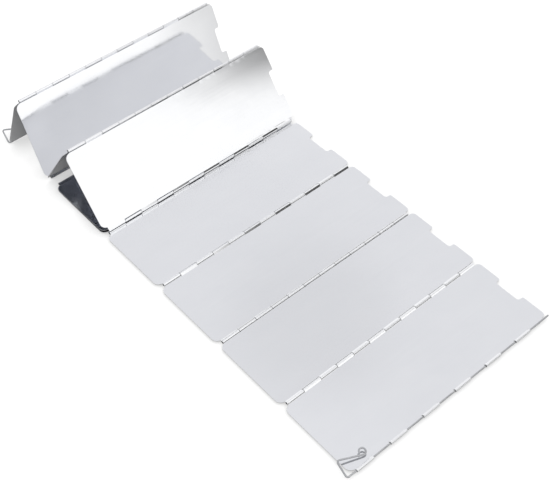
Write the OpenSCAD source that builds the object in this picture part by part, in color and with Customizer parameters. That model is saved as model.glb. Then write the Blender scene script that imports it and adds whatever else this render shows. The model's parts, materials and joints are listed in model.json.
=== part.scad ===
// Folding windscreen for a camp stove: ten sheet panels on knuckle hinges, with a stake rod in each end edge.
// Panel 1 is the right end. Panels 1 to 5 lie flat, panel 6 is folded back over panel 5,
// panels 7 and 8 stand as one tent, and panels 9 and 10 as a second one.

/* [Panels] */
// Distance between the two hinge lines of one panel
panel_pitch = 84; // [70:1:100]
// Length of a panel along its hinge lines
panel_length = 240; // [180:1:320]
// Thickness of the sheet
sheet_t = 0.5; // [0.4:0.05:0.6]
// Radius of the two corners on the plain near edge
near_corner_r = 6; // [2:0.5:9]
// Radius of the two outer corners on the notched far edge
far_corner_r = 4; // [2:0.5:8]

/* [Notch in the far edge] */
// Width of the notch
notch_w = 27; // [12:0.5:40]
// Depth of the notch
notch_depth = 6; // [4:0.5:12]
// Radius in the notch's two inner corners
notch_root_r = 2.5; // [0.5:0.1:3.5]
// Radius of the two tab corners at the notch's mouth
notch_mouth_r = 1.5; // [0.5:0.1:3]

/* [Hinges] */
// Diameter of the wire that the pins and the stake rods are made of
wire_d = 1.6; // [1.2:0.1:2.4]
// Radial clearance of the wire in the knuckles
wire_clearance = 0.05; // [0.02:0.01:0.09]
// Knuckles in one hinge, shared in turn by its two panels
knuckle_count = 12; // [6:2:16]
// Distance from a panel's near and far edge to the row of knuckles
knuckle_inset = 5; // [4:0.5:10]
// Gap between one knuckle and the next
knuckle_gap = 0.4; // [0.2:0.1:1]
// Distance of the hinge axis from the middle of the sheet
axis_offset = 0.55; // [0.45:0.05:0.7]
// Gap between a knuckle and the edge of the other panel
edge_gap = 0.85; // [0.7:0.05:1.5]
// Width of the seam where a rolled knuckle comes back to its sheet
seam_gap = 0.12; // [0.05:0.01:0.25]
// Depth of a pin's ends inside the outer knuckles
pin_recess = 2; // [0.5:0.5:5]

/* [Stake rods] */
// How far the right rod's handle stands out past the near edge
handle_stand_off = 5; // [0:0.5:8]
// How far the right rod's tip stands out past the far edge
rod_tip_out = 1; // [0:0.5:10]
// How far the left rod is pushed in past the right one
left_push_in = 5.3; // [0:0.1:10]
// Width of a handle, from the rod to its outer bend
handle_w = 16; // [12:0.5:24]
// Set-back of the outer bend toward the tip
handle_lean = 2.5; // [0:0.5:5]
// Distance from the rod to the centre of the eye
eye_side = 9.1; // [7:0.1:11]
// Distance along the rod from the handle's first bend to the centre of the eye
eye_back = 25; // [18:0.5:35]
// Radius of the eye at the middle of the wire
eye_r = 2.9; // [2.4:0.1:3.3]
// Radius of the two bends at the middle of the wire
bend_r = 2; // [1.5:0.1:3]
// Swing of the right handle from its panel
right_swing = 15; // [15:1:180]
// Swing of the left handle from its panel
left_swing = 92; // [15:1:180]

/* [Pose] */
// Gap between the knuckles that lie stacked where panel 6 is folded over panel 5
stack_gap = 1.3; // [0.4:0.1:3]
// Distance between the fold of panels 5 and 6 and the foot between the two tents
valley_gap = 14; // [8:0.5:30]
// Distance between the two feet of the left tent
end_span = 69; // [40:1:110]

/* [Hidden] */
$fn = 48;
panel_count = 10;
pin_count = panel_count - 1;
// Hinge 4 marks the middle of the flat run, and hinge 5 is the closed fold
middle_hinge = 4;
fold_hinge = 5;

bore_d = wire_d + 2 * wire_clearance;
knuckle_d = bore_d + 2 * sheet_t;
edge_setback = knuckle_d / 2 + edge_gap;
knuckle_row = panel_length - 2 * knuckle_inset;
knuckle_slot = knuckle_row / knuckle_count;
// Straps run from the hinge axis into the sheet as far past its edge as that edge is from the axis
strap_reach = 2 * edge_setback;
// Cutters run past the faces that they cut by this much
overcut = 1;

PANEL_NODES = [for (i = [1 : panel_count]) str("panel_", i)];
PIN_NODES = [for (i = [1 : pin_count]) str("hinge_pin_", i)];

sheet_colour = [0.87, 0.87, 0.89];
wire_colour = [0.62, 0.63, 0.65];

// Side of the sheet that a hinge's knuckles stand on: 1 is the upper side of a flat panel.
// The sides take turns along the chain, so that the panels fold up as a concertina.
function side(i) = (i == 0 || i == panel_count) ? 1 : (i % 2 == 1 ? 1 : -1);

// Distance between the two axes of panel i
function axis_run(i) = norm([panel_pitch, (side(i) - side(i - 1)) * axis_offset]);

// Upper corner of a triangle with its right foot at a, its left foot at b and sides ra and rb, as [x, z]
function tent_top(a, b, ra, rb) =
    let (
        base = norm(b - a),
        along = (base * base + ra * ra - rb * rb) / (2 * base),
        rise = sqrt(ra * ra - along * along),
        u = (b - a) / base
    )
    a + along * u + rise * [u[1], -u[0]];

// Places of the hinge axes 0 to 10 as [x, z], with the floor at z = 0
floor_z = knuckle_d / 2;
FLAT = [for (i = [0 : fold_hinge]) [(middle_hinge - i) * panel_pitch, floor_z + (1 + side(i)) * axis_offset]];
stack_rise = FLAT[middle_hinge][1] + knuckle_d + stack_gap - FLAT[fold_hinge][1];
stack_run = sqrt(axis_run(6) * axis_run(6) - stack_rise * stack_rise);
hinge_6 = FLAT[fold_hinge] + [stack_run, stack_rise];
hinge_8 = [FLAT[fold_hinge][0] - valley_gap, floor_z];
hinge_7 = tent_top(hinge_6, hinge_8, axis_run(7), axis_run(8));
hinge_10 = [hinge_8[0] - end_span, floor_z];
hinge_9 = tent_top(hinge_8, hinge_10, axis_run(9), axis_run(10));
AXES = concat(FLAT, [hinge_6, hinge_7, hinge_8, hinge_9, hinge_10]);

// Slope of panel i, from its left hinge line to its right one
function slope(i) =
    let (run = AXES[i - 1] - AXES[i])
    atan2(run[1], run[0]) - atan2((side(i - 1) - side(i)) * axis_offset, panel_pitch);

// Length of a rod from its first corner to its tip
rod_length = handle_stand_off + panel_length + rod_tip_out;

// Handle, drawn in its own plane: x away from the rod, y along the rod toward its tip
outer_bend = [handle_w, handle_lean];
eye = [eye_side, eye_back];
first_leg_dir = atan2(handle_lean, handle_w);
first_turn = 90 + first_leg_dir;
second_leg_run = norm(eye - outer_bend);
second_leg_dir = atan2(eye[1] - outer_bend[1], eye[0] - outer_bend[0]) + asin(eye_r / second_leg_run);
second_turn = second_leg_dir - first_leg_dir;
second_leg = sqrt(second_leg_run * second_leg_run - eye_r * eye_r);
// Gap between the cut end of the eye and the leg that it curls back to
eye_gap = 0.25;
// Bends are a hair thicker than the straight wire, which runs this far into them
bend_swell = 0.02;
bend_overlap = 0.1;
eye_turn = 360 - acos(1 - (wire_d + bend_swell + eye_gap) / eye_r);
first_tangent = bend_r * tan(first_turn / 2);
second_tangent = bend_r * tan(second_turn / 2);
// Furthest reach of the wire's middle away from the rod, and past the first corner
handle_reach = handle_w - second_tangent * cos(first_leg_dir) - bend_r * sin(first_leg_dir) + bend_r;
handle_drop = bend_r - first_tangent;

// The origin is under the middle of the whole screen
left_tilt = slope(panel_count) + left_swing;
x_right = AXES[0][0] + knuckle_d / 2;
x_left = AXES[panel_count][0] + handle_reach * cos(left_tilt) - (wire_d + bend_swell) / 2;
y_near = -handle_stand_off - handle_drop - (wire_d + bend_swell) / 2;
y_far = panel_length + rod_tip_out + left_push_in;
middle = [(x_left + x_right) / 2, (y_near + y_far) / 2];

// Moves what is drawn from the chain's own place to the part's frame
module centred() {
    translate([-middle[0], -middle[1], 0])
        children();
}

// Moves a panel, drawn flat with its left hinge line at x = 0, to its place
module at_panel(i) {
    centred()
        translate([AXES[i][0], 0, AXES[i][1]])
            rotate([0, -slope(i), 0])
                translate([0, 0, -side(i) * axis_offset])
                    children();
}

// Wire along +y
module wire_along(length, d) {
    rotate([-90, 0, 0])
        cylinder(h = length, d = d);
}

// Square corner less its quarter circle, with the square's corner at the origin
module corner_cut(r) {
    difference() {
        translate([-overcut, -overcut])
            square(r + overcut);
        translate([r, r])
            circle(r);
    }
}

// Opening of the notch, from its bottom past the far edge, centred on x = 0
module notch() {
    straight = notch_w - 2 * notch_root_r;
    translate([-notch_w / 2, notch_root_r])
        square([notch_w, notch_depth - notch_root_r + overcut]);
    translate([-straight / 2, 0])
        square([straight, notch_depth]);
    for (s = [-1, 1])
        translate([s * straight / 2, notch_root_r])
            circle(notch_root_r);
    for (s = [-1, 1])
        translate([s * notch_w / 2, notch_depth])
            flipped_for(s)
                rotate(-90)
                    corner_cut(notch_mouth_r);
}

// Mirrors a flat shape to the other side when s is -1
module flipped_for(s) {
    mirror([s < 0 ? 1 : 0, 0])
        children();
}

// Outline of the sheet between its two hinge edges
module sheet_outline() {
    difference() {
        translate([edge_setback, 0])
            square([panel_pitch - 2 * edge_setback, panel_length]);
        translate([panel_pitch / 2, panel_length - notch_depth])
            notch();
        for (s = [-1, 1])
            translate([panel_pitch / 2 + s * (panel_pitch / 2 - edge_setback), 0])
                flipped_for(-s)
                    corner_cut(near_corner_r);
        for (s = [-1, 1])
            translate([panel_pitch / 2 + s * (panel_pitch / 2 - edge_setback), panel_length])
                flipped_for(-s)
                    mirror([0, 1])
                        corner_cut(far_corner_r);
    }
}

// Knuckles and straps of one edge, with the hinge line at x = 0 and the sheet toward +x
module knuckles(first, s) {
    for (k = [first : 2 : knuckle_count - 1])
        translate([0, knuckle_inset + k * knuckle_slot + knuckle_gap / 2, 0]) {
            translate([0, 0, s * axis_offset])
                wire_along(knuckle_slot - knuckle_gap, knuckle_d);
            translate([0, 0, -sheet_t / 2])
                cube([strap_reach, knuckle_slot - knuckle_gap, sheet_t]);
        }
}

// Bore of one edge and the seam beside the straps
module knuckle_bore(s) {
    translate([0, -overcut, s * axis_offset])
        wire_along(panel_length + 2 * overcut, bore_d);
    translate([0, -overcut, s > 0 ? sheet_t / 2 : -sheet_t / 2 - seam_gap])
        cube([knuckle_d, panel_length + 2 * overcut, seam_gap]);
}

// One panel: the left edge holds the even knuckles of its hinge, the right edge the odd ones
module panel(i) {
    color(sheet_colour)
        at_panel(i)
            difference() {
                union() {
                    translate([0, 0, -sheet_t / 2])
                        linear_extrude(sheet_t)
                            sheet_outline();
                    knuckles(1, side(i));
                    translate([panel_pitch, 0, 0])
                        mirror([1, 0, 0])
                            knuckles(0, side(i - 1));
                }
                knuckle_bore(side(i));
                translate([panel_pitch, 0, 0])
                    mirror([1, 0, 0])
                        knuckle_bore(side(i - 1));
            }
}

// Pin of hinge i, hidden inside its knuckles
module hinge_pin(i) {
    color(wire_colour)
        centred()
            translate([AXES[i][0], knuckle_inset + pin_recess, AXES[i][1]])
                wire_along(knuckle_row - 2 * pin_recess, wire_d);
}

// Straight wire in the handle's plane, from one bend's end to the next bend's start
module leg(start, dir, length) {
    from = start - bend_overlap * heading(dir);
    translate([from[0], from[1], 0])
        rotate([0, 90, dir])
            cylinder(h = length + 2 * bend_overlap, d = wire_d);
}

// Curved wire in the handle's plane, from a point in a direction: a positive turn goes left
module curl(start, dir, turn, r) {
    translate([start[0], start[1], 0])
        rotate(dir)
            mirror([0, turn < 0 ? 1 : 0, 0])
                translate([0, r, 0])
                    rotate(-90)
                        rotate_extrude(angle = abs(turn))
                            translate([r, 0])
                                circle(d = wire_d + bend_swell);
}

function heading(dir) = [cos(dir), sin(dir)];

// Rod with its handle and eye, first corner at the origin and tip along +y
module stake_rod() {
    first_end = first_tangent * heading(first_leg_dir);
    second_start = outer_bend - second_tangent * heading(first_leg_dir);
    second_end = outer_bend + second_tangent * heading(second_leg_dir);
    translate([0, first_tangent - bend_overlap, 0])
        wire_along(rod_length - first_tangent + bend_overlap, wire_d);
    curl([0, first_tangent], -90, first_turn, bend_r);
    leg(first_end, first_leg_dir, norm(second_start - first_end));
    curl(second_start, first_leg_dir, second_turn, bend_r);
    leg(second_end, second_leg_dir, second_leg - second_tangent);
    curl(outer_bend + second_leg * heading(second_leg_dir), second_leg_dir, -eye_turn, eye_r);
}

// Rod in panel 1's right edge, with its handle swung over that panel
module stake_rod_right() {
    color(wire_colour)
        at_panel(1)
            translate([panel_pitch, -handle_stand_off, side(0) * axis_offset])
                mirror([1, 0, 0])
                    rotate([0, -right_swing, 0])
                        stake_rod();
}

// Rod in panel 10's left edge, with its handle swung out and the rod pushed further in
module stake_rod_left() {
    color(wire_colour)
        at_panel(panel_count)
            translate([0, left_push_in - handle_stand_off, side(panel_count) * axis_offset])
                rotate([0, -left_swing, 0])
                    stake_rod();
}

for (i = [1 : panel_count])
    panel(i);
for (i = [1 : pin_count])
    hinge_pin(i);
stake_rod_right();
stake_rod_left();
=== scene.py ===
"""Dressed model of a folding windscreen for a camp stove.

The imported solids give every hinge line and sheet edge. The ten panels are modelled again as thin
sheet with rolled knuckles, and the two stake rods as bent wire. The hinge pins keep their solids.
All of them get bright-metal finishes.
"""

import json
import logging
import math
from collections.abc import Callable
from dataclasses import dataclass, field, replace
from enum import Enum
from types import TracebackType

import bmesh
import bpy
from mathutils import Matrix, Vector, noise


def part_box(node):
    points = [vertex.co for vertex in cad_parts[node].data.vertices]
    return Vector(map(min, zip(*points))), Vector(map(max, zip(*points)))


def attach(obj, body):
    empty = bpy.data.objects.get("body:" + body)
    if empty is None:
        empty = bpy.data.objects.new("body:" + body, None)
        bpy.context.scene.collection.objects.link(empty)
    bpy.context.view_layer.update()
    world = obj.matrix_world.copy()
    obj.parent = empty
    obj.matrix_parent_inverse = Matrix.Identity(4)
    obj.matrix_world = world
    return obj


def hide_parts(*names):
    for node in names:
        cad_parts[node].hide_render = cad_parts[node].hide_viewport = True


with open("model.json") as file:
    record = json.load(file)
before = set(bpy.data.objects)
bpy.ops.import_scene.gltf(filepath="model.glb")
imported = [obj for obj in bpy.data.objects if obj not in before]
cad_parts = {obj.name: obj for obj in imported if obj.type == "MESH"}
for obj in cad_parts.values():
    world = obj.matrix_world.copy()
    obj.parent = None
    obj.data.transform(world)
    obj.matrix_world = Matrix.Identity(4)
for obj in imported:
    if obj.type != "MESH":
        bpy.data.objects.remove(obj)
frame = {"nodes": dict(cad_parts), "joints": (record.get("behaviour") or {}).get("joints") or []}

LOG = logging.getLogger("windscreen")

# Pieces are modelled in millimetres and set down in metres
MM = 0.001
PANEL_COUNT = 10
PIN_COUNT = 9
# How near a corner lies to the place that it is picked by, in general and across a hinge edge
NEAR = 0.01
NEAR_LINE = 0.1
# Corners closer than this are merged
MERGE = 1e-4
# Slope of the straps that hold a stake rod, and how close the tabs beside them come to it
ROD_STRAP = 60.0
ROD_WINDOW = 0.95
# Stake rods: straight length, place of the first bend from the near edge, swing of the handle
ROD_LENGTH = 246.0
RIGHT_BEND = -5.0
LEFT_BEND = 0.3
RIGHT_SWING = 15.0
LEFT_SWING = 92.0
# Material slots of a panel, besides the sheet's own
EDGE_SLOT = 1
# Slot of the dark bore material: painted shade inside the knuckles and on their open ends
BORE_SHADE_SLOT = 2
# Blender's spin turns clockwise about its axis, so an anticlockwise turn is given with this sign
SPIN_SENSE = -1.0
WHITE = (1.0, 1.0, 1.0, 1.0)

Colour = tuple[float, float, float]
Point = tuple[float, float, float]
Span = tuple[float, float]
Stops = tuple[tuple[float, Colour], ...]
Test = Callable[[Vector], bool]
Piece = bpy.types.Object
Node = bpy.types.Node
Socket = bpy.types.NodeSocket


class Roll(Enum):
    """Side of the sheet that a row of knuckles is rolled to."""

    UP = 1
    DOWN = -1


class Edge(Enum):
    """Hinge edge of a panel, as the direction from the middle of the sheet to it."""

    LEFT = -1
    RIGHT = 1

    @property
    def other(self) -> "Edge":
        """The panel's other hinge edge."""
        return Edge(-self.value)


class Pick(Enum):
    """Kind of element that an edit-mode selection is made of."""

    CORNERS = "VERT"
    EDGES = "EDGE"


class Curve(Enum):
    """Way in which a value goes from one end of a range to the other."""

    STRAIGHT = "LINEAR"
    SOFT = "SMOOTHSTEP"


def clear_selection() -> None:
    """Deselect every object, so that an operator acts on the new piece alone."""
    bpy.ops.object.select_all(action="DESELECT")


def take_up(obj: Piece) -> None:
    """Make one object the active one and the only one selected.

    Args:
        obj: The object that the next operators act on.
    """
    clear_selection()
    obj.select_set(True)
    bpy.context.view_layer.objects.active = obj


def apply_modifier(obj: Piece, kind: str, **settings: object) -> None:
    """Add one modifier to an object and apply it.

    Args:
        obj: The mesh object.
        kind: Type of the modifier.
        settings: Values of the modifier's properties.
    """
    take_up(obj)
    modifier = obj.modifiers.new(kind.title(), kind)
    for name, value in settings.items():
        setattr(modifier, name, value)
    bpy.ops.object.modifier_apply(modifier=modifier.name)


def smooth(obj: Piece, degrees: float) -> None:
    """Shade an object smooth except across edges sharper than an angle."""
    take_up(obj)
    bpy.ops.object.shade_smooth_by_angle(angle=math.radians(degrees))


def copy_piece(obj: Piece, name: str) -> Piece:
    """Copy a piece together with its mesh.

    Args:
        obj: The piece that is modelled once.
        name: Name of the copy.

    Returns:
        The copy, linked to the scene.
    """
    twin = obj.copy()
    twin.data = obj.data.copy()
    twin.name = twin.data.name = name
    bpy.context.scene.collection.objects.link(twin)
    return twin


def aim(obj: Piece, place: Vector, way: Vector) -> None:
    """Put a lamp or a camera into the scene.

    Args:
        obj: The lamp or the camera.
        place: Where it stands.
        way: The direction that it looks in.
    """
    obj.location = place
    obj.rotation_mode = "QUATERNION"
    obj.rotation_quaternion = way.to_track_quat("-Z", "Y")
    bpy.context.scene.collection.objects.link(obj)


class Workpiece:
    """One mesh object in edit mode, whose corners and edges are picked by their place."""

    def __init__(self, obj: Piece) -> None:
        """Hold the mesh object, which is at the origin, unturned and unscaled."""
        self.obj = obj

    def __enter__(self) -> "Workpiece":
        """Enter edit mode on this object alone.

        Returns:
            The workpiece itself.
        """
        take_up(self.obj)
        bpy.ops.object.mode_set(mode="EDIT")
        return self

    def __exit__(self, kind: type[BaseException] | None, error: BaseException | None,
                 trace: TracebackType | None) -> None:
        """Go back to object mode."""
        bpy.ops.object.mode_set(mode="OBJECT")

    def pick(self, kind: Pick, wanted: Test) -> None:
        """Select the elements whose corners all pass a test, and nothing else.

        Args:
            kind: Corners or edges.
            wanted: Test of one corner's place.
        """
        bpy.ops.mesh.select_mode(type=kind.value)
        bpy.ops.mesh.select_all(action="DESELECT")
        mesh = bmesh.from_edit_mesh(self.obj.data)
        for item in mesh.verts if kind is Pick.CORNERS else mesh.edges:
            corners = [item] if kind is Pick.CORNERS else item.verts
            if all(wanted(corner.co) for corner in corners):
                item.select_set(True)
        bmesh.update_edit_mesh(self.obj.data)

    def cut(self, place: Point, normal: Point) -> None:
        """Divide the faces along the plane through a place."""
        bpy.ops.mesh.select_all(action="SELECT")
        bpy.ops.mesh.bisect(plane_co=place, plane_no=normal, threshold=MERGE)

    def draw_out(self, step: Point) -> None:
        """Extrude the selected edges by one step."""
        bpy.ops.mesh.extrude_edges_move(TRANSFORM_OT_translate={"value": step})

    def turn_out(self, centre: Point, axis: Point, degrees: float, steps: int) -> None:
        """Spin the selected edges about an axis, anticlockwise as seen against it."""
        angle = SPIN_SENSE * math.radians(degrees)
        bpy.ops.mesh.spin(steps=steps, angle=angle, center=centre, axis=axis)

    def tidy(self) -> None:
        """Merge doubled corners and point the faces outwards."""
        bpy.ops.mesh.select_all(action="SELECT")
        bpy.ops.mesh.remove_doubles(threshold=MERGE)
        bpy.ops.mesh.normals_make_consistent(inside=False)


class NodeBench:
    """Small helper that adds and links shader nodes."""

    def __init__(self, owner: bpy.types.Material | bpy.types.World) -> None:
        """Give a material or a world an empty node tree.

        Args:
            owner: What the nodes belong to.
        """
        owner.use_nodes = True
        self.tree = owner.node_tree
        self.tree.nodes.clear()

    def add(self, kind: str, inputs: dict[str, object] | None = None, **settings: object) -> Node:
        """Add one node.

        Args:
            kind: Type of the node.
            inputs: Values or source sockets for named inputs.
            settings: Values of the node's properties.

        Returns:
            The new node.
        """
        node = self.tree.nodes.new(kind)
        for name, value in settings.items():
            setattr(node, name, value)
        for name, value in (inputs or {}).items():
            self.feed(node.inputs[name], value)
        return node

    def feed(self, socket: Socket, value: object) -> None:
        """Link a source to an input, or set the input's own value.

        Args:
            socket: The input.
            value: A source socket, or a value of the input's kind.
        """
        if isinstance(value, bpy.types.NodeSocket):
            self.tree.links.new(value, socket)
        else:
            socket.default_value = value

    def feed_all(self, node: Node, *values: object, first: int = 0) -> Node:
        """Feed a node's inputs in order.

        Args:
            node: The node.
            values: Source sockets or values.
            first: Number of the input that the first one goes to.

        Returns:
            The same node.
        """
        for socket, value in zip(node.inputs[first:], values):
            self.feed(socket, value)
        return node

    def math(self, operation: str, first: object, second: object) -> Socket:
        """Work out one value from two with a Math node."""
        node = self.add("ShaderNodeMath", operation=operation)
        return self.feed_all(node, first, second).outputs[0]

    def blend(self, first: Socket, second: Socket, share: float) -> Socket:
        """Mix two values by the first one's share."""
        parts = self.math("MULTIPLY", first, share), self.math("MULTIPLY", second, 1.0 - share)
        return self.math("ADD", *parts)

    def spread(self, source: Socket, given: Span, wanted: Span,
               curve: Curve = Curve.STRAIGHT) -> Socket:
        """Map the two ends of one range of values to another range's ends."""
        node = self.add("ShaderNodeMapRange", interpolation_type=curve.value)
        return self.feed_all(node, source, *given, *wanted).outputs[0]

    def ramp(self, source: Socket, stops: Stops) -> Socket:
        """Map a value to colours.

        Args:
            source: The value.
            stops: Positions and colours, in order.

        Returns:
            The colour.
        """
        node = self.add("ShaderNodeValToRGB", {"Fac": source})
        elements = node.color_ramp.elements
        while len(elements) < len(stops):
            elements.new(1.0)
        for element, (place, colour) in zip(elements, stops):
            element.position = place
            element.color = (*colour, 1.0)
        return node.outputs["Color"]

    def rays(self) -> tuple[Socket, Socket]:
        """Tell rays apart.

        Returns:
            Whether a ray comes from the camera, and whether it comes from metal or glass.
        """
        path = self.add("ShaderNodeLightPath").outputs
        glass = path["Is Transmission Ray"]
        return path["Is Camera Ray"], self.math("MAXIMUM", path["Is Glossy Ray"], glass)

    def both(self, first: Node, second: Node) -> Node:
        """Add two shaders up."""
        node = self.add("ShaderNodeAddShader")
        return self.feed_all(node, first.outputs[0], second.outputs[0])

    def mixed(self, share: Socket, first: Node, second: Node) -> Node:
        """Mix two shaders by the second one's share."""
        node = self.add("ShaderNodeMixShader", {"Fac": share})
        return self.feed_all(node, first.outputs[0], second.outputs[0], first=1)

    def backdrop(self, colour: object, strength: object) -> Node:
        """Add a shader for the world."""
        return self.add("ShaderNodeBackground", {"Color": colour, "Strength": strength})


@dataclass(frozen=True)
class Grain:
    """Noise stretched along the axes.

    It has cycles per metre along x, y and z, a number of octaves, the weight of the finer ones, and
    a turn about z in degrees.
    """

    scale: Point
    detail: float
    roughness: float = 0.5
    turn: float = 0.0

    def draw(self, bench: NodeBench, coords: Socket) -> Socket:
        """Add the nodes of the noise.

        Args:
            bench: The material's nodes.
            coords: Coordinates in metres.

        Returns:
            The noise value, about 0 to 1.
        """
        turned = bench.add("ShaderNodeMapping", {
            "Vector": coords, "Rotation": (0.0, 0.0, math.radians(self.turn)),
        })
        placed = bench.add("ShaderNodeMapping", {"Vector": turned.outputs[0], "Scale": self.scale})
        made = bench.add("ShaderNodeTexNoise", {
            "Vector": placed.outputs[0], "Scale": 1.0, "Detail": self.detail,
            "Roughness": self.roughness,
        })
        return made.outputs[0]


@dataclass(frozen=True)
class Finish:
    """Metal finish: fine lines, and over them patches and scratches, each of which may be missing.

    Lines and patches make the wear, which gives the tone and, from end to end, the roughness. The
    bumps have a strength and a depth in metres. A scratch begins at the low end of its grain's span
    and is full at the high end.
    """

    name: str
    tones: Stops
    lines: Grain
    bump: float
    depth: float
    roughness: Span | float
    worn: Span = (0.0, 1.0)
    metallic: float = 1.0
    patches: Grain | None = None
    line_share: float = 1.0
    scratches: tuple[tuple[Grain, Span], ...] = ()
    scratch_roughness: float = 0.0
    scratch_depth: float = 0.0

    def material(self) -> bpy.types.Material:
        """Build the material.

        Returns:
            A node material on Object coordinates.
        """
        made = bpy.data.materials.new(self.name)
        bench = NodeBench(made)
        coords = bench.add("ShaderNodeTexCoord").outputs["Object"]
        height = worn = self.lines.draw(bench, coords)
        if self.patches:
            worn = bench.blend(worn, self.patches.draw(bench, coords), self.line_share)
        roughness = self.roughness
        if isinstance(roughness, tuple):
            roughness = bench.spread(worn, self.worn, roughness)
        if self.scratches:
            marks = bench.math("MAXIMUM", *(
                bench.spread(hair.draw(bench, coords), cut, (0.0, 1.0))
                for hair, cut in self.scratches
            ))
            dulled = bench.math("MULTIPLY", marks, self.scratch_roughness)
            scored = bench.math("MULTIPLY", marks, self.scratch_depth)
            roughness = bench.math("ADD", roughness, dulled)
            height = bench.math("SUBTRACT", height, scored)
        bump = bench.add("ShaderNodeBump", {
            "Height": height, "Strength": self.bump, "Distance": self.depth,
        })
        shader = bench.add("ShaderNodeBsdfPrincipled", {
            "Base Color": bench.ramp(worn, self.tones), "Metallic": self.metallic,
            "Roughness": roughness, "Normal": bump.outputs[0],
        })
        bench.add("ShaderNodeOutputMaterial", {"Surface": shader.outputs[0]})
        return made


@dataclass(frozen=True)
class PolishedSheet(Finish):
    """Bright-rolled aluminium: a near mirror with rolling lines, wipe marks and hair scratches."""

    name: str = "polished_aluminium"
    tones: Stops = ((0.32, (0.905, 0.910, 0.922)), (0.68, (0.875, 0.881, 0.897)))
    lines: Grain = Grain((1100.0, 9.0, 1100.0), 3.0)
    bump: float = 0.010
    depth: float = 0.00004
    roughness: Span = (0.08, 0.105)
    worn: Span = (0.30, 0.70)
    patches: Grain = Grain((34.0, 22.0, 34.0), 4.0, 0.6, turn=25.0)
    line_share: float = 0.35
    scratches: tuple[tuple[Grain, Span], ...] = (
        (Grain((30.0, 1500.0, 900.0), 1.0, turn=32.0), (0.70, 0.76)),
        (Grain((1400.0, 26.0, 900.0), 1.0, turn=-17.0), (0.71, 0.77)),
    )
    scratch_roughness: float = 0.06
    scratch_depth: float = 0.6


@dataclass(frozen=True)
class CutEdge(Finish):
    """Sheared edge of the sheet: the same metal, with a finer, duller grain."""

    name: str = "sheared_edge"
    tones: Stops = ((0.35, (0.84, 0.845, 0.855)), (0.70, (0.60, 0.605, 0.62)))
    lines: Grain = Grain((2600.0, 2600.0, 500.0), 3.0)
    bump: float = 0.25
    depth: float = 0.00005
    roughness: Span = (0.26, 0.44)
    worn: Span = (0.3, 0.7)


@dataclass(frozen=True)
class PaintedShadeBore(Finish):
    """Painted shade inside a rolled knuckle and on its open ends: dull metal coloured near black,
    with lighter grey patches.
    """

    name: str = "knuckle_bore"
    tones: Stops = ((0.38, (0.030, 0.031, 0.034)), (0.66, (0.16, 0.163, 0.17)))
    lines: Grain = Grain((900.0, 260.0, 900.0), 4.0, 0.6)
    bump: float = 0.3
    depth: float = 0.00005
    roughness: float = 0.55
    metallic: float = 0.6


@dataclass(frozen=True)
class DrawnWire(Finish):
    """Drawn steel wire: bright, with draw lines along the rod and darker rubbed patches."""

    name: str = "drawn_steel_wire"
    tones: Stops = ((0.34, (0.60, 0.605, 0.615)), (0.66, (0.40, 0.405, 0.42)))
    lines: Grain = Grain((3800.0, 60.0, 3800.0), 3.0)
    bump: float = 0.2
    depth: float = 0.00003
    roughness: Span = (0.13, 0.26)
    worn: Span = (0.32, 0.68)
    patches: Grain = Grain((160.0, 90.0, 160.0), 4.0, 0.6)
    line_share: float = 0.5


@dataclass(frozen=True)
class Press:
    """Strip pressed up along a hinge edge, in millimetres.

    It ends at a distance from the hinge line, and has a rise, a sloping run and a level width.
    """

    end: float
    rise: float
    run: float
    level: float = 0.0


@dataclass(frozen=True)
class Rim:
    """Finish of one hinge edge, in millimetres and degrees.

    Its knuckles are rolled to one side, and its straps cross over to a side with a ramp's slope.
    Its tabs end at a window from the hinge line and turn up by a lip.
    """

    roll: Roll
    over: Roll
    ramp: float = 45.0
    window: float = 1.9
    lip: float = 0.2
    press: Press | None = None


# Strips pressed along the two edges of the fold at the tent's foot
PRESSED = {
    (4, Edge.LEFT): Press(end=1.42, rise=0.5, run=1.4),
    (7, Edge.RIGHT): Press(end=1.9, rise=0.25, run=0.4, level=1.3),
}
# Straps whose slope differs from the rest
SLOPES = {(3, Edge.LEFT): 38.0}


@dataclass(frozen=True)
class PanelPlace:
    """Where one panel lies between its two hinge lines, in metres."""

    number: int
    left_axis: Vector
    right_axis: Vector
    left: Rim
    right: Rim
    near_y: float

    def slope(self, offset: float) -> float:
        """Slope of the sheet from its left hinge line to its right one.

        Args:
            offset: Distance of a hinge axis from the middle of the sheet.

        Returns:
            The slope in radians.
        """
        run = self.right_axis - self.left_axis
        rise = (self.right.roll.value - self.left.roll.value) * offset
        across = math.sqrt(run.x ** 2 + run.z ** 2 - rise ** 2)
        return math.atan2(run.z, run.x) - math.atan2(rise, across)

    def matrix(self, offset: float) -> Matrix:
        """Matrix that sets down a panel drawn flat in millimetres.

        Args:
            offset: Distance of a hinge axis from the middle of the sheet.

        Returns:
            The 4 by 4 matrix.
        """
        axis = Vector((self.left_axis.x, self.near_y, self.left_axis.z))
        turn = Matrix.Rotation(-self.slope(offset), 4, "Y")
        drop = Matrix.Translation((0.0, 0.0, -self.left.roll.value * offset))
        return Matrix.Translation(axis) @ turn @ drop @ Matrix.Scale(MM, 4)


@dataclass(frozen=True)
class Wear:
    """How far one sheet is out of flat: a factor on its waves, and its near bulge's height."""

    waves: float = 1.0
    bulge: float = 0.0


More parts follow.
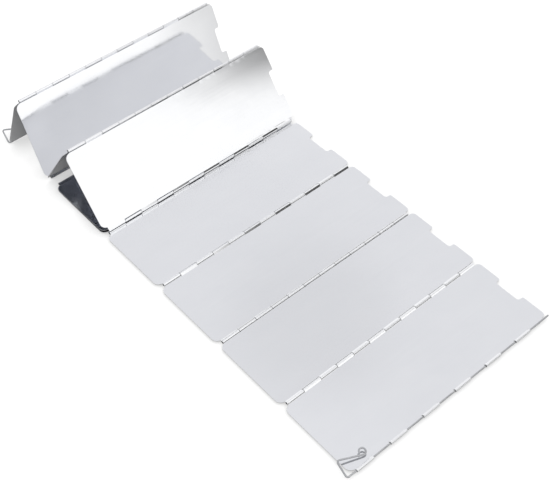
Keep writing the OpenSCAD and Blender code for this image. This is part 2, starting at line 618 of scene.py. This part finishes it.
@dataclass(frozen=True)
class Ripple:
    """Small waves of a thin rolled sheet, in millimetres, that fade out at the hinge edges."""

    long_wave: float = 150.0
    long_height: float = 0.10
    short_wave: float = 48.0
    short_height: float = 0.045
    fade: float = 9.0
    seed_step: float = 7.31
    short_seed: float = 50.0
    bulge_reach: float = 17.0
    bulge_width: float = 62.0
    bulge_skew: float = 0.6

    def lift(self, place: Vector, sheet: "PanelSheet", number: int, wear: Wear) -> float:
        """Lift of the sheet at one place, by its waves and by a bulge at the left of its near end.

        Args:
            place: Corner of the flat sheet.
            sheet: Sizes of the panel.
            number: Number of the panel, which picks its own waves.
            wear: How far the sheet is out of flat.

        Returns:
            The lift.
        """
        left, right = sheet.flat
        depth = min(place.x - left, right - place.x)
        if depth <= 0.0:
            return 0.0
        share = min(depth / self.fade, 1.0)
        hold = share * share * (3.0 - 2.0 * share)
        seed = number * self.seed_step
        slow = noise.noise(Vector((place.x / self.long_wave, place.y / self.long_wave, seed)))
        quick = noise.noise(Vector((place.x / self.short_wave, place.y / self.short_wave,
                                    seed + self.short_seed)))
        waves = wear.waves * hold * (self.long_height * slow + self.short_height * quick)
        across = min((place.x - left) / self.bulge_width, 1.0)
        arch = math.sin(math.pi * across ** self.bulge_skew) ** 2
        return waves + wear.bulge * arch * math.exp(-(place.y / self.bulge_reach) ** 2)


@dataclass(frozen=True)
class PanelSheet:
    """One panel, drawn flat in millimetres: left hinge line at x = 0, near edge at y = 0."""

    pitch: float
    length: float
    left: Rim = Rim(Roll.UP, Roll.UP)
    right: Rim = Rim(Roll.UP, Roll.UP)
    thickness: float = 0.5
    near_corner: float = 6.0
    far_corner: float = 4.0
    corner_steps: int = 9
    notch_width: float = 27.0
    notch_depth: float = 6.0
    notch_root: float = 2.5
    notch_mouth: float = 1.5
    knuckle_count: int = 12
    knuckle_inset: float = 5.0
    knuckle_gap: float = 0.4
    axis_offset: float = 0.55
    roll_radius: float = 1.1
    roll_end: float = 335.0
    roll_steps: int = 22
    bend_radius: float = 0.5
    bend_steps: int = 3
    grid: float = 4.2
    straight_angle: float = 0.5
    burr: float = 0.07
    burr_steps: int = 2
    burr_angle: float = 50.0
    smooth_angle: float = 35.0
    normal_weight: int = 60
    bore_play: float = 0.04
    end_facing: float = 0.6
    ripple: Ripple = field(default_factory=Ripple)

    @property
    def slot(self) -> float:
        """Length of one knuckle with its gap."""
        return (self.length - 2.0 * self.knuckle_inset) / self.knuckle_count

    @property
    def flat(self) -> Span:
        """Left and right end of the flat sheet."""
        return self.root(Edge.LEFT), self.pitch - self.root(Edge.RIGHT)

    @property
    def ends(self) -> list[float]:
        """Places along y where a knuckle of either edge begins or ends, in order."""
        return sorted(y for edge in Edge for knuckle in self.knuckles(edge) for y in knuckle)

    def rim(self, edge: Edge) -> Rim:
        """Finish of one hinge edge."""
        return self.left if edge is Edge.LEFT else self.right

    def hinge(self, edge: Edge) -> float:
        """Place of one hinge line along x."""
        return 0.0 if edge is Edge.LEFT else self.pitch

    def lift(self, edge: Edge) -> float:
        """Height of the hinge axis over the sheet, on the side that the straps cross to."""
        rim = self.rim(edge)
        return rim.roll.value * rim.over.value * self.axis_offset

    def slope(self, edge: Edge) -> float:
        """Slope at which a strap meets its roll; from a pressed strip it goes there straight.

        Args:
            edge: The hinge edge.

        Returns:
            The slope in radians.
        """
        rim = self.rim(edge)
        if rim.press is None:
            return math.radians(rim.ramp)
        end, drop = rim.press.end, rim.press.rise - self.lift(edge)
        return math.asin(self.roll_radius / math.hypot(end, drop)) - math.atan2(drop, end)

    def root(self, edge: Edge) -> float:
        """Distance from the hinge line to the end of the flat sheet.

        Args:
            edge: The hinge edge.

        Returns:
            The distance.
        """
        rim, tilt = self.rim(edge), self.slope(edge)
        if rim.press is not None:
            return rim.press.end + rim.press.level + rim.press.run
        foot = (self.roll_radius + self.lift(edge) * math.cos(tilt)) / math.sin(tilt)
        return foot + self.bend_radius * math.tan(tilt / 2.0)

    def start(self, edge: Edge) -> Vector:
        """Place where a strap begins, as x and z for a left edge whose straps cross upwards."""
        press = self.rim(edge).press
        return Vector((press.end, press.rise) if press else (self.root(edge), 0.0))

    def knuckles(self, edge: Edge) -> list[Span]:
        """Near and far end of each knuckle that an edge holds.

        Args:
            edge: The right edge holds the first knuckle and every second one from there.

        Returns:
            The ends along y.
        """
        first = 0 if edge is Edge.RIGHT else 1
        starts = [self.knuckle_inset + k * self.slot for k in range(first, self.knuckle_count, 2)]
        half = self.knuckle_gap / 2.0
        return [(start + half, start + self.slot - half) for start in starts]

    def blank(self, name: str) -> Piece:
        """Cut the outline of the sheet: rounded corners and the notch in the far edge.

        Args:
            name: Name of the new object.

        Returns:
            The flat blank, one face without thickness.
        """
        body = self.length - self.notch_depth
        left, right = self.flat
        clear_selection()
        middle_of_body = ((left + right) / 2.0, body / 2.0, 0.0)
        bpy.ops.mesh.primitive_plane_add(size=1.0, location=middle_of_body)
        obj = bpy.context.active_object
        obj.name = obj.data.name = name
        obj.scale = (right - left, body, 1.0)
        bpy.ops.object.transform_apply(location=True, rotation=False, scale=True)
        middle, half = self.pitch / 2.0, self.notch_width / 2.0

        def at_notch(p: Vector) -> bool:
            """Test whether a corner lies on a side of the notch."""
            return abs(abs(p.x - middle) - half) < NEAR

        with Workpiece(obj) as work:
            for side in (-1.0, 1.0):
                work.cut((middle + side * half, 0.0, 0.0), (1.0, 0.0, 0.0))
            for side in (-1.0, 1.0):
                work.pick(Pick.EDGES, lambda p, s=side: (
                    p.y > body - NEAR and s * (p.x - middle) > half - NEAR))
                work.draw_out((0.0, self.notch_depth, 0.0))
            bpy.ops.mesh.select_all(action="SELECT")
            bpy.ops.mesh.dissolve_limited(angle_limit=math.radians(self.straight_angle))
            self._round(work, self.near_corner, lambda p: p.y < NEAR)
            self._round(work, self.far_corner, lambda p: (
                p.y > self.length - NEAR and abs(p.x - middle) > half + self.far_corner))
            self._round(work, self.notch_mouth, lambda p: p.y > self.length - NEAR and at_notch(p))
            self._round(work, self.notch_root, lambda p: abs(p.y - body) < NEAR and at_notch(p))
        return obj

    def _round(self, work: Workpiece, radius: float, wanted: Test) -> None:
        """Round the corners of the outline that pass a test."""
        work.pick(Pick.CORNERS, wanted)
        bpy.ops.mesh.bevel(offset=radius, segments=self.corner_steps, affect="VERTICES")

    def divide(self, obj: Piece) -> None:
        """Divide the blank into a grid that has a line at each end of each knuckle.

        Args:
            obj: The blank.
        """
        ends = self.ends
        lines = [self.knuckle_inset / 2.0, self.length - self.knuckle_inset / 2.0]
        for near, far in zip(ends, ends[1:]):
            count = max(1, round((far - near) / self.grid))
            lines += [near + (far - near) * step / count for step in range(count)]
        lines.append(ends[-1])
        left, right = self.flat
        columns = round((right - left) / self.grid)
        with Workpiece(obj) as work:
            for column in range(1, columns):
                x = left + (right - left) * column / columns
                work.cut((x, 0.0, 0.0), (1.0, 0.0, 0.0))
            for y in lines:
                work.cut((0.0, y, 0.0), (0.0, 1.0, 0.0))

    def strap(self, edge: Edge) -> list[Vector]:
        """Middle line of a strap, from its bend up the ramp to the roll.

        Args:
            edge: The hinge edge that gives the slope.

        Returns:
            Places as x and z, for a left edge whose straps cross upwards.
        """
        tilt, start, radius = self.slope(edge), self.start(edge), self.roll_radius
        angles = [tilt * step / self.bend_steps for step in range(self.bend_steps + 1)]
        bend = [
            start + self.bend_radius * Vector((-math.sin(a), 1.0 - math.cos(a))) for a in angles
        ]
        touch = Vector((radius * math.sin(tilt), self.lift(edge) + radius * math.cos(tilt)))
        return [*bend, touch]

    def roll(self, obj: Piece, edge: Edge) -> None:
        """Roll every second length of one hinge edge into knuckles, and draw the rest out to a tab.

        Args:
            obj: The divided blank.
            edge: The hinge edge.
        """
        hinge, rim, over = self.hinge(edge), self.rim(edge), self.rim(edge).over.value
        root, start, path = self.root(edge), self.start(edge), self.strap(edge)

        def on_line(place: Vector, spans: list[Span]) -> Test:
            """Test whether a corner lies on a line along the edge, within some lengths of it."""
            return lambda p: (abs(p.x - hinge + edge.value * place.x) < NEAR_LINE
                              and abs(p.z - over * place.y) < NEAR
                              and any(a - NEAR < p.y < b + NEAR for a, b in spans))

        with Workpiece(obj) as work:
            if rim.press is None:
                work.pick(Pick.EDGES, on_line(start, self.knuckles(edge.other)))
                work.draw_out((edge.value * (root - rim.window), 0.0, over * rim.lip))
            else:
                row = [(self.ends[0], self.ends[-1])]
                work.pick(Pick.EDGES, on_line(Vector((root, 0.0)), row))
                work.draw_out((edge.value * rim.press.run, 0.0, over * rim.press.rise))
                if rim.press.level:
                    work.draw_out((edge.value * rim.press.level, 0.0, 0.0))
            work.pick(Pick.EDGES, on_line(start, self.knuckles(edge)))
            for here, there in zip(path, path[1:]):
                step = there - here
                work.draw_out((-edge.value * step.x, 0.0, over * step.y))
            turn = self.roll_end - (90.0 - math.degrees(self.slope(edge)))
            work.turn_out((hinge, 0.0, rim.roll.value * self.axis_offset), (0.0, 1.0, 0.0),
                          edge.value * over * turn, self.roll_steps)
            work.tidy()

    def pattern(self, name: str) -> Piece:
        """Make one kind of panel, still without thickness.

        Args:
            name: Name of the new object.

        Returns:
            The pattern, which each panel of this kind is copied from.
        """
        obj = self.blank(name)
        self.divide(obj)
        for edge in Edge:
            self.roll(obj, edge)
        return obj

    def thicken(self, obj: Piece, number: int, wear: Wear) -> None:
        """Give a copied pattern its waves, its thickness and its softened edges.

        Args:
            obj: The copy.
            number: Number of the panel.
            wear: How far the sheet is out of flat.
        """
        for corner in obj.data.vertices:
            corner.co.z += self.ripple.lift(corner.co, self, number, wear)
        apply_modifier(obj, "SOLIDIFY", thickness=self.thickness, offset=0.0, use_even_offset=True,
                       material_offset_rim=EDGE_SLOT)
        apply_modifier(obj, "BEVEL", width=self.burr, segments=self.burr_steps,
                       limit_method="ANGLE", angle_limit=math.radians(self.burr_angle),
                       use_clamp_overlap=True)
        # Paint shade into the knuckle bores and on the open knuckle ends
        self._paint_bore_shade(obj)
        smooth(obj, self.smooth_angle)
        apply_modifier(obj, "WEIGHTED_NORMAL", keep_sharp=True, weight=self.normal_weight)

    def _paint_bore_shade(self, obj: Piece) -> None:
        """Paint shade on the insides of the knuckles and on the knuckle ends that lie open, with
        the dark bore material.

        Args:
            obj: The thickened panel.
        """
        bore = self.roll_radius - self.thickness / 2.0 + self.bore_play
        outside = self.roll_radius + self.thickness / 2.0 + self.bore_play
        first = self.knuckle_inset + self.slot / 2.0
        last = self.length - self.knuckle_inset - self.slot / 2.0
        for face in obj.data.polygons:
            across = abs(face.normal.y) > self.end_facing
            at_end = not first < face.center.y < last
            for edge in Edge:
                rim = self.rim(edge)
                reach = outside if across and (at_end or rim.window == ROD_WINDOW) else bore
                height = face.center.z - rim.roll.value * self.axis_offset
                if math.hypot(face.center.x - self.hinge(edge), height) < reach:
                    # Painted shade: this face gets the dark bore material
                    face.material_index = BORE_SHADE_SLOT


@dataclass
class Screen:
    """The chain of ten panels and the nine hinge pins that join them.

    A panel's materials are those of its sheet, its cut edges and the painted shade of its bores, in
    this order.
    """

    sheet: PanelSheet
    places: list[PanelPlace]
    panel_materials: list[bpy.types.Material]
    wire_material: bpy.types.Material
    wear: dict[int, Wear] = field(default_factory=lambda: {
        5: Wear(0.6), 6: Wear(0.6), 7: Wear(0.8), 9: Wear(2.4, 0.7),
    })

    def build(self) -> None:
        """Model, place and dress the ten panels, and dress the pins."""
        patterns: dict[PanelSheet, Piece] = {}
        for place in self.places:
            sheet = replace(self.sheet, left=place.left, right=place.right)
            if sheet not in patterns:
                patterns[sheet] = sheet.pattern(f"pattern_{len(patterns)}")
            self._panel(patterns[sheet], sheet, place)
        for pattern in patterns.values():
            bpy.data.meshes.remove(pattern.data)
        self._pins()

    def _panel(self, pattern: Piece, sheet: PanelSheet, place: PanelPlace) -> None:
        """Copy a pattern, finish it and set it down between its hinge lines.

        Args:
            pattern: The kind of panel.
            sheet: Sizes of that kind.
            place: Its place in the chain.
        """
        number = place.number
        obj = copy_piece(pattern, f"polished_panel_{number}")
        for finish in self.panel_materials:
            obj.data.materials.append(finish)
        sheet.thicken(obj, number, self.wear.get(number, Wear()))
        obj.data.transform(place.matrix(sheet.axis_offset * MM))
        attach(obj, f"panel_{number}")
        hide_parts(f"panel_{number}")
        LOG.info("%s: %d faces", obj.name, len(obj.data.polygons))

    def _pins(self) -> None:
        """Give the hinge pins, whose solids stay, their wire finish."""
        for number in range(1, PIN_COUNT + 1):
            pin = frame["nodes"][f"hinge_pin_{number}"]
            pin.data.materials.clear()
            pin.data.materials.append(self.wire_material)
            LOG.info("%s: solid kept", pin.name)


@dataclass
class StakeRod:
    """Stake wire, drawn in its own plane in millimetres: x away from the rod, y toward its tip."""

    name: str
    node: str
    body: str
    axis: Vector
    corner_y: float
    heading: float
    material: bpy.types.Material
    length: float = ROD_LENGTH
    wire: float = 1.6
    bend: float = 2.0
    handle_width: float = 16.0
    handle_lean: float = 2.5
    eye_side: float = 9.1
    eye_back: float = 25.0
    eye_radius: float = 2.9
    eye_gap: float = 0.25
    tip_chamfer: float = 0.28
    chamfer_steps: int = 3
    rim: int = 20
    spin_step: float = 9.0
    fewest_steps: int = 6
    smooth_angle: float = 30.0

    def build(self) -> None:
        """Model the rod from its tip to its eye, and set it down in its knuckles."""
        lean = math.degrees(math.atan2(self.handle_lean, self.handle_width))
        outer = Vector((self.handle_width, self.handle_lean))
        to_eye = Vector((self.eye_side, self.eye_back)) - outer
        leg = math.sqrt(to_eye.length_squared - self.eye_radius ** 2)
        beside = math.asin(self.eye_radius / to_eye.length)
        climb = math.degrees(math.atan2(to_eye.y, to_eye.x) + beside)
        first_turn, second_turn = 90.0 + lean, climb - lean
        first_tangent = self.bend * math.tan(math.radians(first_turn / 2.0))
        second_tangent = self.bend * math.tan(math.radians(second_turn / 2.0))
        opening = math.acos(1.0 - (self.wire + self.eye_gap) / self.eye_radius)
        eye_turn = 360.0 - math.degrees(opening)
        obj = self._start()
        with Workpiece(obj) as work:
            work.pick(Pick.EDGES, lambda p: True)
            place, way = Vector((0.0, self.length)), -90.0
            for length, turn, radius in (
                (self.length - first_tangent, first_turn, self.bend),
                (outer.length - first_tangent - second_tangent, second_turn, self.bend),
                (leg - second_tangent, -eye_turn, self.eye_radius),
            ):
                place, way = self._leg(work, place, way, length, turn, radius)
            self._close_end()
            work.pick(Pick.EDGES, lambda p: p.y > self.length - NEAR)
            self._close_end()
            work.tidy()
        smooth(obj, self.smooth_angle)
        self._set_down(obj)

    def _start(self) -> Piece:
        """Draw the wire's section at the tip, facing along the rod.

        Returns:
            A ring of edges.
        """
        clear_selection()
        bpy.ops.mesh.primitive_circle_add(
            vertices=self.rim, radius=self.wire / 2.0, fill_type="NOTHING",
            location=(0.0, self.length, 0.0), rotation=(math.pi / 2.0, 0.0, 0.0),
        )
        obj = bpy.context.active_object
        obj.name = obj.data.name = self.name
        bpy.ops.object.transform_apply(location=True, rotation=True, scale=True)
        return obj

    def _leg(self, work: Workpiece, place: Vector, way: float, length: float, turn: float,
             radius: float) -> tuple[Vector, float]:
        """Draw the wire straight on, and then bend it.

        Args:
            work: The rod in edit mode.
            place: Middle of the wire's end.
            way: Heading in degrees.
            length: Length of the straight.
            turn: Turn of the bend in degrees, positive to the left.
            radius: Radius of the bend at the middle of the wire.

        Returns:
            The new end and heading.
        """
        step = Vector((math.cos(math.radians(way)), math.sin(math.radians(way)))) * length
        work.draw_out((step.x, step.y, 0.0))
        place = place + step
        inward = math.radians(way + math.copysign(90.0, turn))
        centre = place + Vector((math.cos(inward), math.sin(inward))) * radius
        steps = max(self.fewest_steps, round(abs(turn) / self.spin_step))
        work.turn_out((centre.x, centre.y, 0.0), (0.0, 0.0, 1.0), turn, steps)
        swung = Matrix.Rotation(math.radians(turn), 2) @ (place - centre)
        return centre + swung, way + turn

    def _close_end(self) -> None:
        """Cap the selected ring and take its sharp rim off."""
        bpy.ops.mesh.edge_face_add()
        bpy.ops.mesh.bevel(offset=self.tip_chamfer, segments=self.chamfer_steps, affect="EDGES")

    def _set_down(self, obj: Piece) -> None:
        """Move the rod into its knuckles, dress it and let it ride on its body.

        Args:
            obj: The rod.
        """
        angle = math.radians(self.heading)
        out = Vector((math.cos(angle), 0.0, math.sin(angle)))
        along = Vector((0.0, 1.0, 0.0))
        turn = Matrix((out, along, out.cross(along))).transposed().to_4x4()
        corner = Vector((self.axis.x, self.corner_y, self.axis.z))
        obj.data.transform(Matrix.Translation(corner) @ turn @ Matrix.Scale(MM, 4))
        obj.data.materials.append(self.material)
        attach(obj, self.body)
        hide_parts(self.node)
        LOG.info("%s: %d faces", obj.name, len(obj.data.polygons))


@dataclass(frozen=True)
class Flag:
    """Round card in the studio, as the metal sees it: it dims or lifts the sky behind it.

    Its place and the radii where its soft rim begins and ends are in degrees.
    """

    azimuth: float
    elevation: float
    inner: float
    outer: float
    level: float

    def shade(self, bench: NodeBench, way: Socket) -> Socket:
        """Factor on the sky in the direction that a ray leaves in.

        Args:
            bench: The sky's nodes.
            way: Direction of the ray.

        Returns:
            One outside the card, and its level inside it.
        """
        az, el = math.radians(self.azimuth), math.radians(self.elevation)
        middle = (math.cos(az) * math.cos(el), math.sin(az) * math.cos(el), math.sin(el))
        dot = bench.add("ShaderNodeVectorMath", operation="DOT_PRODUCT")
        bench.feed_all(dot, way, middle)
        ends = (math.cos(math.radians(self.outer)), math.cos(math.radians(self.inner)))
        return bench.spread(dot.outputs["Value"], ends, (1.0, self.level), Curve.SOFT)


@dataclass(frozen=True)
class Studio:
    """White studio: a pale floor, a sky, one soft lamp and the camera.

    The camera sees white all round. The metal sees a plain grey room, with a lit strip across its
    far side and cards in front of that strip.
    """

    azimuth: float = 48.81
    elevation: float = 48.93
    distance: float = 1.0597
    target: Point = (0.03056, -0.00212, 0.0)
    lens: float = 73.71
    sensor: float = 36.0
    clip: Span = (0.01, 50.0)
    lamp_place: Point = (0.9, -0.7, 1.5)
    lamp_size: float = 1.2
    lamp_energy: float = 5.0
    floor_size: float = 8.0
    floor_drop: float = 0.0004
    floor_colour: Colour = (0.50, 0.50, 0.50)
    seen_colour: Colour = (0.14, 0.14, 0.14)
    seen_clear: float = 0.98
    mirror_glow: float = 0.03
    gap_reach: float = 0.04
    gap_clear: float = 0.42
    even_light: float = 0.97
    lit_sky: Stops = (
        (0.00, (1.04, 1.04, 1.04)),
        (0.20, (1.12, 1.12, 1.12)),
        (0.46, (1.14, 1.14, 1.14)),
        (0.60, (0.92, 0.92, 0.94)),
        (0.72, (0.815, 0.82, 0.845)),
        (0.86, (0.815, 0.82, 0.845)),
        (0.91, (0.715, 0.72, 0.745)),
        (1.00, (0.68, 0.685, 0.71)),
    )
    lit_right: float = 1.14
    right_edge: Span = (-0.16, 0.10)
    plain_sky: Stops = (
        (0.00, (0.70, 0.70, 0.71)),
        (0.25, (0.86, 0.86, 0.87)),
        (0.55, (0.80, 0.805, 0.82)),
        (1.00, (0.68, 0.685, 0.71)),
    )
    lit_from: Span = (0.12, 0.25)
    lit_to: Span = (0.585, 0.68)
    flags: tuple[Flag, ...] = (
        Flag(40.3, 34.2, 9.2, 12.2, 0.07),
        Flag(34.5, 3.0, 5.5, 9.5, 0.66),
        Flag(136.0, 53.0, 1.5, 5.5, 0.92),
        Flag(134.0, 60.5, 1.5, 5.5, 1.04),
    )
    mirror_bounces: int = 28
    all_bounces: int = 32

    def build(self) -> None:
        """Set up the floor, the sky, the lamp and the camera."""
        scene = bpy.context.scene
        scene.view_settings.view_transform = "Standard"
        scene.cycles.max_bounces = self.all_bounces
        scene.cycles.glossy_bounces = self.mirror_bounces
        self._floor()
        self._sky()
        self._lamp()
        self._camera()
        LOG.info("studio: floor, sky, lamp and camera")

    def _floor(self) -> None:
        """Pale floor with a faint shadow, which hides nothing that a pose swings below it."""
        clear_selection()
        below = (0.0, 0.0, -self.floor_drop)
        bpy.ops.mesh.primitive_plane_add(size=self.floor_size, location=below)
        floor = bpy.context.active_object
        floor.name = floor.data.name = "studio_floor"
        made = bpy.data.materials.new("studio_floor")
        bench = NodeBench(made)
        seen, mirrored = bench.rays()
        glow = bench.math("MULTIPLY", mirrored, self.mirror_glow)
        light = bench.add("ShaderNodeEmission", {"Strength": glow})
        matt = bench.add("ShaderNodeBsdfDiffuse", {"Color": (*self.floor_colour, 1.0)})
        near = bench.add("ShaderNodeAmbientOcclusion", {"Distance": self.gap_reach})
        shown = (self.gap_clear * self.seen_clear, self.seen_clear)
        kept = bench.spread(near.outputs["AO"], (0.0, 1.0), shown)
        clear = bench.add("ShaderNodeBsdfTransparent", {"Color": kept})
        film = bench.add("ShaderNodeBsdfDiffuse", {"Color": (*self.seen_colour, 1.0)})
        surface = bench.mixed(seen, bench.both(light, matt), bench.both(clear, film))
        bench.add("ShaderNodeOutputMaterial", {"Surface": surface.outputs[0]})
        floor.data.materials.append(made)

    def _sky(self) -> None:
        """Sky that is white to the camera, and a grey room with a lit strip to the metal."""
        world = bpy.data.worlds.new("studio_sky")
        bpy.context.scene.world = world
        bench = NodeBench(world)
        way = bench.add("ShaderNodeTexCoord").outputs["Generated"]
        parts = bench.add("ShaderNodeSeparateXYZ", {"Vector": way}).outputs
        shade = self.flags[0].shade(bench, way)
        for flag in self.flags[1:]:
            shade = bench.math("MULTIPLY", shade, flag.shade(bench, way))
        left = bench.backdrop(bench.ramp(parts["Z"], self.lit_sky), shade)
        right = bench.backdrop(WHITE, bench.math("MULTIPLY", shade, self.lit_right))
        side = bench.spread(parts["X"], self.right_edge, (0.0, 1.0), Curve.SOFT)
        begun = bench.spread(parts["Y"], self.lit_from, (0.0, 1.0), Curve.SOFT)
        ended = bench.spread(parts["Y"], self.lit_to, (1.0, 0.0), Curve.SOFT)
        lit = bench.math("MULTIPLY", begun, ended)
        plain = bench.backdrop(bench.ramp(parts["Z"], self.plain_sky), 1.0)
        room = bench.mixed(lit, plain, bench.mixed(side, left, right))
        seen, mirrored = bench.rays()
        others = bench.mixed(mirrored, bench.backdrop(WHITE, self.even_light), room)
        sky = bench.mixed(seen, others, bench.backdrop(WHITE, 1.0))
        bench.add("ShaderNodeOutputWorld", {"Surface": sky.outputs[0]})

    def _lamp(self) -> None:
        """Large soft lamp above the near right side, which the metal doesn't show."""
        light = bpy.data.lights.new("soft_lamp", "AREA")
        light.shape = "DISK"
        light.size = self.lamp_size
        light.energy = self.lamp_energy
        lamp = bpy.data.objects.new("soft_lamp", light)
        lamp.visible_glossy = False
        aim(lamp, Vector(self.lamp_place), -Vector(self.lamp_place))

    def _camera(self) -> None:
        """Camera at the photograph's viewing angle."""
        az, el = math.radians(self.azimuth), math.radians(self.elevation)
        back = Vector((math.sin(az) * math.cos(el), -math.cos(az) * math.cos(el), math.sin(el)))
        data = bpy.data.cameras.new("photo_camera")
        data.sensor_width = self.sensor
        data.lens = self.lens
        data.clip_start, data.clip_end = self.clip
        camera = bpy.data.objects.new("photo_camera", data)
        aim(camera, Vector(self.target) + back * self.distance, -back)
        bpy.context.scene.camera = camera


def hinge_axes() -> list[Vector]:
    """Places of the hinge axes, from the right end of the screen to the left.

    Returns:
        Eleven points in metres: the right stake, the nine hinges and the left stake.
    """
    places = {joint["name"]: Vector(joint["pos_m"]) for joint in frame["joints"]}
    hinges = [places[f"hinge_{number}"] for number in range(1, PIN_COUNT + 1)]
    return [places["stake_right_swivel"], *hinges, places["stake_left_swivel"]]


def rim_of(panel: int, edge: Edge) -> Rim:
    """Finish of one panel's hinge edge.

    The knuckles' side takes turns from hinge to hinge, and is up at both ends of the screen.

    Args:
        panel: Number of the panel.
        edge: Its left or right edge.

    Returns:
        The edge's knuckles, straps and tabs.
    """
    hinge = panel if edge is Edge.LEFT else panel - 1
    if hinge in (0, PANEL_COUNT):
        return Rim(Roll.UP, Roll.UP, ramp=ROD_STRAP, window=ROD_WINDOW, lip=0.0)
    roll = Roll.UP if hinge % 2 == 1 else Roll.DOWN
    if (panel, edge) in PRESSED:
        return Rim(roll, Roll.UP, press=PRESSED[panel, edge])
    return Rim(roll, roll, ramp=SLOPES.get((panel, edge), Rim.ramp))


def main() -> None:
    """Build the studio, the panels and the stake rods, in that order."""
    logging.basicConfig(level=logging.INFO, format="%(message)s")
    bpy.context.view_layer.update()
    Studio().build()

    axes = hinge_axes()
    low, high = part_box("panel_1")
    places = [
        PanelPlace(number, axes[number], axes[number - 1], rim_of(number, Edge.LEFT),
                   rim_of(number, Edge.RIGHT), low.y)
        for number in range(1, PANEL_COUNT + 1)
    ]
    sheet = PanelSheet(pitch=(axes[0].x - axes[1].x) / MM, length=(high.y - low.y) / MM)
    wire = DrawnWire().material()
    # The last finish is painted shade for the knuckle bores and the open knuckle ends
    finishes = [finish.material() for finish in (PolishedSheet(), CutEdge(), PaintedShadeBore())]
    Screen(sheet, places, finishes, wire).build()

    left_slope = math.degrees(places[-1].slope(sheet.axis_offset * MM))
    rods = [
        StakeRod("wire_stake_right", "stake_rod_right", "stake_right", axes[0],
                 low.y + RIGHT_BEND * MM, 180.0 - RIGHT_SWING, wire),
        StakeRod("wire_stake_left", "stake_rod_left", "stake_left", axes[-1],
                 low.y + LEFT_BEND * MM, left_slope + LEFT_SWING, wire),
    ]
    for rod in rods:
        rod.build()


if __name__ == "__main__":
    main()
